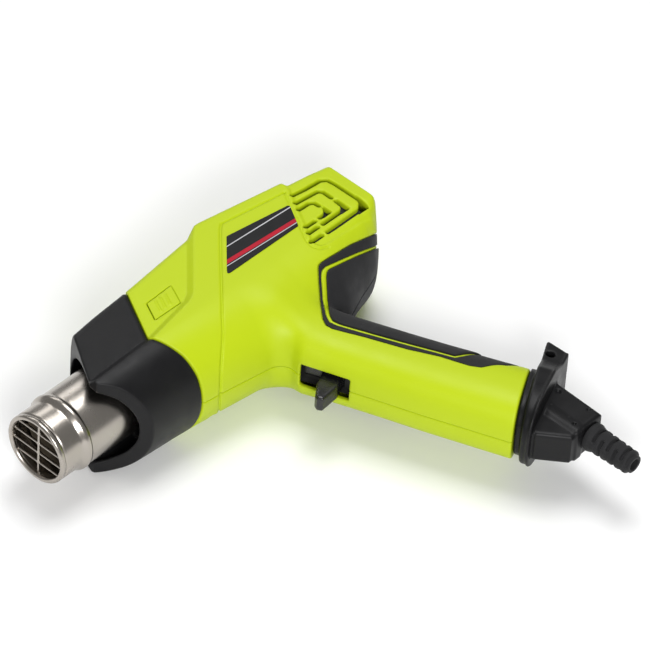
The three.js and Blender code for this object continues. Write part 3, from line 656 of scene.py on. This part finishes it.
def nozzle_guard(block, form):
    """A shell with a lowered rear edge, a groove low down near its front, and a collar in the housing."""
    axis = np.hypot(block.y, block.z)
    front = ahead_of_guard_front(block)
    border = ahead_of_guard_border(block)
    edge = 0.7 * ease(1 - np.abs(border + 0.2) / 1.6)
    edge = edge + 0.7 * ease(1 - np.abs(front + 2.4) / 1.0) * ease(-8 - block.y)
    outer = both(form + edge, border + 0.15, 0.6)
    outer = both(outer, -front, 0.7)
    hollow = both(form + WALL, GUARD_FRONT_WALL - front, 2)
    opening = both(axis - GUARD_OPENING, block.x + 60, 1)
    piece = both(outer, -join(hollow, opening, 1.5), 1.2)
    collar = both(form + WALL + 0.4, -(form + WALL + 1.9), 0.3)
    collar = both(collar, np.abs(border + 1) - 8, 0.5)
    return join(piece, collar, 0.5)


def base_cap(block):
    """The foot with its neck inside the handle, and the cord housing below it."""
    down, back, across = block.down, block.back, block.across
    rounded_front = squared_oval(np.abs(back) / FOOT_FRONT, across / FOOT_HALF_WIDTH, 2.5) * FOOT_HALF_WIDTH
    tail = across - profile(FOOT_TAIL, back, 7)
    plan = np.where(back < 0, rounded_front, tail)
    plate = both(plan, FOOT_TOP - FOOT_TOP_SLOPE * back - down, 1.6)
    plate = both(plate, down - FOOT_BOTTOM, 1.0)
    bead = both(plan - 0.6, np.abs(down - 160.9) - 0.6, 0.8)
    plate = both(join(plate, bead, 0.8), block.x - REAR_END, 1.8)
    above = HANDLE_END + 0.4 + HANDLE_END_SLOPE * back - down
    neck = squared_oval(np.abs(back - 0.1) / NECK[0], across / NECK[1], HANDLE_SQUARENESS) * NECK[1]
    neck = both(neck, above, 0.6)
    neck = both(neck, down - 158, 1)
    rear_block = both(block.outline(CORD_BLOCK), across - 9.5, 2.2)
    fairing = both(block.outline(CORD_FAIRING) - 0.3, across - 8.8, 2.4)
    cap = join(join(plate, neck, 1.2), join(rear_block, fairing, 2.5), 1.6)
    cap = both(cap, above, 0.3)
    hollow = squared_oval(np.abs(back + 0.9) / NECK_HOLLOW[0], across / NECK_HOLLOW[1], HANDLE_SQUARENESS)
    hollow = hollow * NECK_HOLLOW[1]
    cap = both(cap, -both(hollow, down - 158.5, 1), 0.6)
    bore = both(np.hypot(block.x - CORD_X, block.z) - CORD_BORE, block.y + 150, 0.5)
    cap = both(cap, -bore, 0.6)
    eye = np.hypot(block.x - EYE[0], (block.y - EYE[1]) * 0.8) - EYE[2]
    cap = both(cap, -eye, 1.0)
    for x, y, radius in DIMPLES:
        dimple = both(pole_distance(block, x, y) - radius, 8.6 - across, 0.5)
        cap = both(cap, -dimple, 0.6)
    return cap


def cord_boot(block):
    """A sleeve with slots on alternate sides, so that it bends with the cord."""
    x, y, z = block.x - CORD_X, block.y, block.z
    radius = np.hypot(x, z)
    body = radius - profile(BOOT, y, 1)
    body = both(body, y - CORD_BLOCK_BOTTOM + 0.3, 0.8)
    body = both(body, BOOT_END - y, 1.0)
    body = join(body, both(radius - 4.5, y + 166, 0.5), 0.5)
    first, pitch, count = BOOT_SLOTS
    for i in range(count):
        height = first - pitch * i
        ways = (np.abs(x) * 0.5 - np.abs(z)) if i % 2 == 0 else (np.abs(z) * 0.5 - np.abs(x))
        slot = both(np.abs(y - height) - 0.85, 4.3 - radius, 0.5)
        slot = both(slot, ways, 1.0)
        body = both(body, -slot, 0.8)
    return both(body, BOOT_BORE - radius, 0.4)


def switch_slider(block):
    """The plate, the grooved thumb piece in front of it, and a stem through it."""
    across = block.across
    plate = both(np.abs(block.back - SLIDE_BACK) - 0.5, np.abs(block.down - KNOB_CENTRE - 3) - 20, 0.3)
    plate = both(plate, across - 5.9, 0.4)
    knob = outline(block.back, block.down, THUMB_SLIDE)
    for i in range(3):
        notch = ease(1 - np.abs(block.back + 31.4 - 2.6 * i) / 0.8)
        knob = knob + 0.35 * notch * ease((62.5 - block.down) / 2)
    knob = both(knob, across - 4.3, 1.6)
    stem = both(np.abs(block.back + 12.9) - 1.9, np.abs(block.down - KNOB_CENTRE) - 2, 0.4)
    stem = both(stem, across - 2, 0.4)
    return join(join(plate, knob, 1.5), stem, 0.4)


def grille(block):
    """A ring with one long bar and four cross bars."""
    radius = np.hypot(block.y, block.z)
    rim = NOZZLE_TIP + 2.0
    outer = 16.9
    ring = both(radius - outer, outer - 1.3 - radius, 0.5)
    ring = both(ring, np.abs(block.x - rim - 1.6) - 1.6, 0.6)
    depth = np.abs(block.x - rim - 0.7) - 0.7
    bars = both(np.abs(block.y) - 0.65, depth, 0.6)
    for i in range(4):
        bars = join(bars, both(np.abs(block.z - 6 * (i - 1.5)) - 0.55, depth, 0.6), 0.5)
    return join(ring, both(bars, radius - outer + 0.6, 0.3), 0.6)


def turned(name, outline_points, segments=192):
    """A closed profile of (x, radius) turned about the barrel axis."""
    points, faces = [], []
    count = len(outline_points)
    for i in range(segments):
        angle = 2 * math.pi * i / segments
        points += [(x, r * math.cos(angle), r * math.sin(angle)) for x, r in outline_points]
        ahead = (i + 1) % segments
        for j in range(count):
            k = (j + 1) % count
            faces.append((i * count + j, i * count + k, ahead * count + k, ahead * count + j))
    return mesh_object(name, points, faces)


def nozzle():
    """The tube has a rolled lip, a fine groove behind it and a pressed bead where it widens."""
    outer = [(-122.8, 15.5), (-123.8, 15.35)]
    outer += [(-123.8 - 1.2 * math.cos(a), 16.7 + 1.2 * math.sin(a))
              for a in np.linspace(-0.9, math.pi / 2, 9)]
    outer += [(-122.5, 17.88), (-122.2, 17.5), (-121.8, 17.5), (-121.5, 17.85), (-120.5, 17.9)]
    stations = np.arange(-114, -103, 0.4)
    swell = [(-116, 17.9), (-111.4, 17.9), (-109, 19.6), (-107.4, 19.7), (-106.2, 19.0), (-100, 19.2)]
    radii = profile(swell, stations, 1.8)
    bead = [(x, float(r)) for x, r in zip(stations, radii)]
    outer += [(-116, 17.9), *bead, (-60, 19.2), (-16.2, 19.2), (-16, 19.4), (-16, 23.0), (-14, 23.0)]
    inner = [(-14, 18.3), (-104, 18.3), (-110, 17.0), (-121.8, 17.0)]
    shift = NOZZLE_TIP + 125
    return turned("nozzle_skin", [(x + shift, r) for x, r in outer + inner])


def flat_label(name, points, side, height, radius=1.2):
    """A thin film with round corners on one side of the gun."""
    corners = []
    centre = np.mean(points, axis=0)
    for i in range(len(points)):
        here, before, after = (np.array(points[k % len(points)], float) for k in (i, i - 1, i + 1))
        a = (before - here) / np.linalg.norm(before - here)
        b = (after - here) / np.linalg.norm(after - here)
        reach = radius / math.tan(math.acos(float(a @ b)) / 2)
        for t in np.linspace(0, 1, 7):
            ends = (1 - t) ** 2 * (here + a * reach), t * t * (here + b * reach)
            corners.append(ends[0] + 2 * t * (1 - t) * here + ends[1])
    ring = len(corners)
    low = [(x, y, side * (HALF_WIDTH - 0.05)) for x, y in corners]
    high = [(x, y, side * (HALF_WIDTH + height)) for x, y in corners]
    top = [(*(np.array(p) + (centre - p) * 0.004), side * (HALF_WIDTH + height + 0.04)) for p in corners]
    mesh = bmesh.new()
    rings = [[mesh.verts.new(p) for p in level] for level in (low, high, top)]
    for lower, upper in zip(rings, rings[1:]):
        for i in range(ring):
            k = (i + 1) % ring
            mesh.faces.new((lower[i], lower[k], upper[k], upper[i]))
    mesh.faces.new(rings[-1])
    mesh.faces.new(rings[0][::-1])
    bmesh.ops.recalc_face_normals(mesh, faces=mesh.faces)
    bmesh.ops.translate(mesh, vec=(0, 0, HALF_WIDTH), verts=mesh.verts)
    bmesh.ops.scale(mesh, vec=(MM, MM, MM), verts=mesh.verts)
    data = bpy.data.meshes.new(name)
    mesh.to_mesh(data)
    mesh.free()
    made = bpy.data.objects.new(name, data)
    bpy.context.scene.collection.objects.link(made)
    return made


# ---- building -------------------------------------------------------------------

LIME = lime_plastic()
BLACK = black_plastic()
GLOSS = gloss_black()
RUBBER = soft_rubber()
STEEL = drawn_steel()

body_block = Block((-64, -153.5, -1.5), (93, 40, 33), 0.5 * FINE)
form = whole_form(body_block)
left, right = housing(body_block, form)
fit(skin("housing_left_shell", body_block, left), "housing", LIME, "housing_left")
fit(skin("housing_right_shell", body_block, right, mirror=True), "housing", LIME, "housing_right")
grip_field = soft_grip(body_block, form)
fit(skin("grip_left_pad", body_block, grip_field), "housing", RUBBER, "grip_left")
fit(skin("grip_right_pad", body_block, grip_field, mirror=True), "housing", RUBBER, "grip_right")
tab_block = Block((-48, -1, 25), (-22, 15, 32), 0.3)
tab_field = release_tab(tab_block, whole_form(tab_block))
fit(skin("tab_left_tongue", tab_block, tab_field), "tab_left", LIME, "release_tab_left")
fit(skin("tab_right_tongue", tab_block, tab_field, mirror=True), "tab_right", LIME,
    "release_tab_right")

guard_block = Block((-98.5, -35, -32), (-24, 34, 32), 0.5 * FINE)
guard_field = nozzle_guard(guard_block, whole_form(guard_block))
fit(skin("guard_shell", guard_block, guard_field), "guard", BLACK, "nozzle_guard")

cap_block = Block((30, -175, -24), (94, -118, 24), 0.4 * FINE)
fit(skin("foot_and_cord_housing", cap_block, base_cap(cap_block)), "housing", BLACK,
    "base_cap")
boot_block = Block((58, -199, -8.5), (75, -164, 8.5), 0.25 * FINE)
fit(skin("cord_sleeve", boot_block, cord_boot(boot_block)), "housing", RUBBER, "cord_boot")
switch_block = Block((-14, -88, -7), (22, -36, 7), 0.3 * FINE)
fit(skin("switch_thumb_slide", switch_block, switch_slider(switch_block)), "switch", GLOSS,
    "switch_slider")

fit(nozzle(), "housing", STEEL, "nozzle_tube")
grille_block = Block((NOZZLE_TIP + 1.2, -18, -18), (NOZZLE_TIP + 6.4, 18, 18), 0.2 * FINE)
fit(skin("grille_bars", grille_block, grille(grille_block)), "housing", STEEL,
    "nozzle_grille")

PALE = (0.55, 0.55, 0.57)
FILM = 0.16                      # thickness of a label
badge = printed_film("badge_film", (0.008, 0.008, 0.009), [
    ((12.6, 11.6), (53.8, 9.7), 0.28, PALE),
    ((5.1, 4.2), (48.7, 1.7), 1.15, (0.42, 0.006, 0.022)),
    ((3.6, 2.2), (47.7, 0.2), 0.22, PALE),
])
fit(flat_label("badge_left", LABEL, 1, FILM), "housing", badge, "label_left")
plate_lines = [((14, y), (42, y), 0.25, (0.02, 0.02, 0.02)) for y in (5, 7.2, 9.4, 11.6)]
plate = printed_film("data_plate_film", (0.5, 0.5, 0.5), plate_lines)
fit(flat_label("data_plate_right", RATING, -1, FILM), "housing", plate, "rating_label")

# The inner nodes show through the nozzle, the slots and the screw holes. They keep their CAD shape.
ZINC = plain_metal("zinc_plate", (0.5, 0.5, 0.52), 0.35)
WIRE = plain_metal("heater_wire", (0.12, 0.11, 0.10), 0.5)
MICA = mottled("mica_board", (0.10, 0.08, 0.055), (0.07, 0.055, 0.035), 0.6, 90)
BOARD = mottled("circuit_board", (0.02, 0.15, 0.05), (0.015, 0.10, 0.04), 0.4, 120)
LEAD = mottled("lead_insulation", (0.03, 0.09, 0.32), (0.02, 0.07, 0.26), 0.4, 60)
LOOKS = {"black_plastic": BLACK, "bright_steel": ZINC, "screw_steel": ZINC, "heater_wire": WIRE, "mica": MICA,
         "circuit_board": BOARD, "lead_insulation": LEAD, "nozzle_steel": STEEL}
for part in frame["record"]["subparts"]:
    node = frame["nodes"][part["node"]]
    if part["material_slot"] in LOOKS:
        node.data.materials.clear()
        node.data.materials.append(LOOKS[part["material_slot"]])


# ---- floor, light and camera -------------------------------------------------------

def floor():
    """White paper, just below the gun."""
    bpy.ops.mesh.primitive_plane_add(size=12, location=(0, 0, -0.0004))
    ground = bpy.context.object
    ground.name = "studio_floor"
    look = Look("studio_paper", (0.92, 0.92, 0.92), 0.75)
    look.vary(3, (0.90, 0.90, 0.90), 0.5)
    ground.data.materials.append(look.done())


def lamp(name, place, aim, size, power, tall=None):
    """An area light, in metres and watts. It is a square unless tall is given."""
    light = bpy.data.lights.new(name, "AREA")
    light.energy = power
    light.size = size
    if tall:
        light.shape = "RECTANGLE"
        light.size_y = tall
    made = bpy.data.objects.new(name, light)
    bpy.context.scene.collection.objects.link(made)
    made.location = place
    made.rotation_euler = (Vector(aim) - Vector(place)).to_track_quat("-Z", "Y").to_euler()


def camera():
    """The camera fitted to the outlines of the photo. Angles are in degrees, lengths in metres."""
    azimuth, elevation, roll = map(math.radians, (-49.8, 43.56, 4.0))
    aim = Vector((0.0315, -0.0362, 0.0316))
    distance = 2.5
    back = Vector((math.sin(azimuth) * math.cos(elevation), -math.cos(azimuth) * math.cos(elevation),
                   math.sin(elevation)))
    right = Vector((0, 0, 1)).cross(back).normalized()
    up = back.cross(right)
    turned_right = right * math.cos(roll) + up * math.sin(roll)
    turned_up = up * math.cos(roll) - right * math.sin(roll)
    data = bpy.data.cameras.new("photo_camera")
    data.sensor_width = 36
    data.lens = 293.7
    data.clip_start = 0.1
    data.clip_end = 50
    made = bpy.data.objects.new("photo_camera", data)
    bpy.context.scene.collection.objects.link(made)
    turn = Matrix((turned_right, turned_up, back)).transposed()
    made.matrix_world = Matrix.Translation(aim + back * distance) @ turn.to_4x4()
    bpy.context.scene.camera = made


def studio():
    world = bpy.data.worlds.new("studio")
    world.use_nodes = True
    world.node_tree.nodes["Background"].inputs["Color"].default_value = (1, 1, 1, 1)
    world.node_tree.nodes["Background"].inputs["Strength"].default_value = 0.3
    bpy.context.scene.world = world
    bpy.context.scene.view_settings.view_transform = "Standard"
    lamp("overhead", (0.25, 0.1, 1.3), (0.0, 0, 0), 0.7, 10)
    lamp("left_window", (-0.8, -0.9, 0.8), (0, -0.03, 0.02), 0.6, 14, tall=0.35)
    lamp("rear_window", (0.5, 1.0, 0.8), (0, -0.03, 0.02), 0.9, 2.5, tall=0.4)


floor()
studio()
camera()
